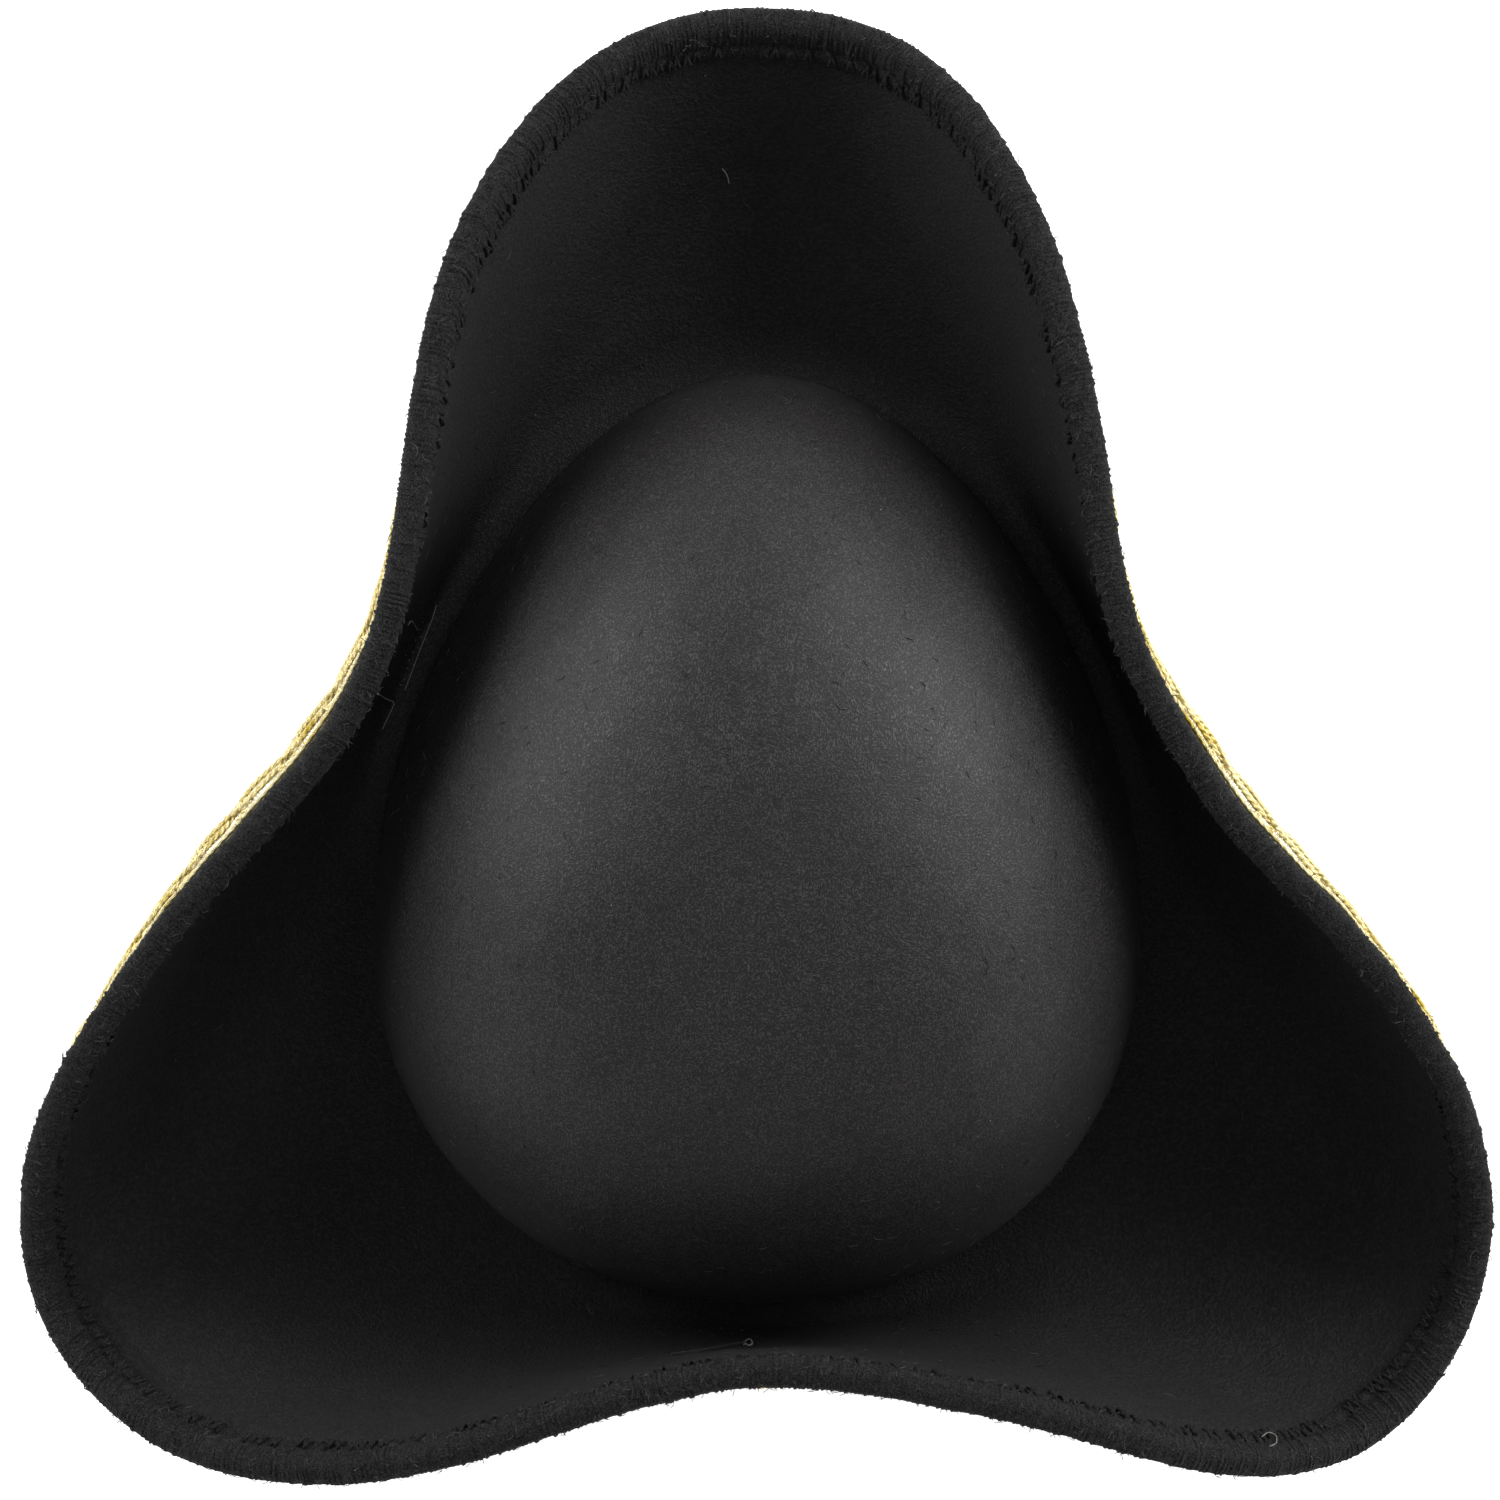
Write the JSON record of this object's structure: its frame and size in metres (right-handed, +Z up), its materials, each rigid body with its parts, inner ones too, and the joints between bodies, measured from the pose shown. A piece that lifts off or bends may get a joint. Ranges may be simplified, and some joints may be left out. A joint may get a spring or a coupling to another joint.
{
  "type": "tricorn hat",
  "caption": "Black felt tricorn hat with a rounded egg-shaped crown, brim turned up in three flaps, overlocked edge and a gold braid with a raised chain.",
  "frame": {"origin": "under the middle of the hat's plan, on the surface it rests on", "axes": "+Z up, -Y towards the front point, +X towards the side that the picture shows at left"},
  "size_m": [0.3136, 0.3102, 0.105],
  "materials": {
    "black_felt": "matt fuzzy wool felt",
    "black_wool": "matt overlocked wool thread",
    "gold_thread": "plaited metallic thread, bright where it catches light"
  },
  "bodies": {
    "root": {"felt_body": "black_felt", "edge_binding": "black_wool", "gold_braid": "gold_thread"}
  },
  "joints": []
}
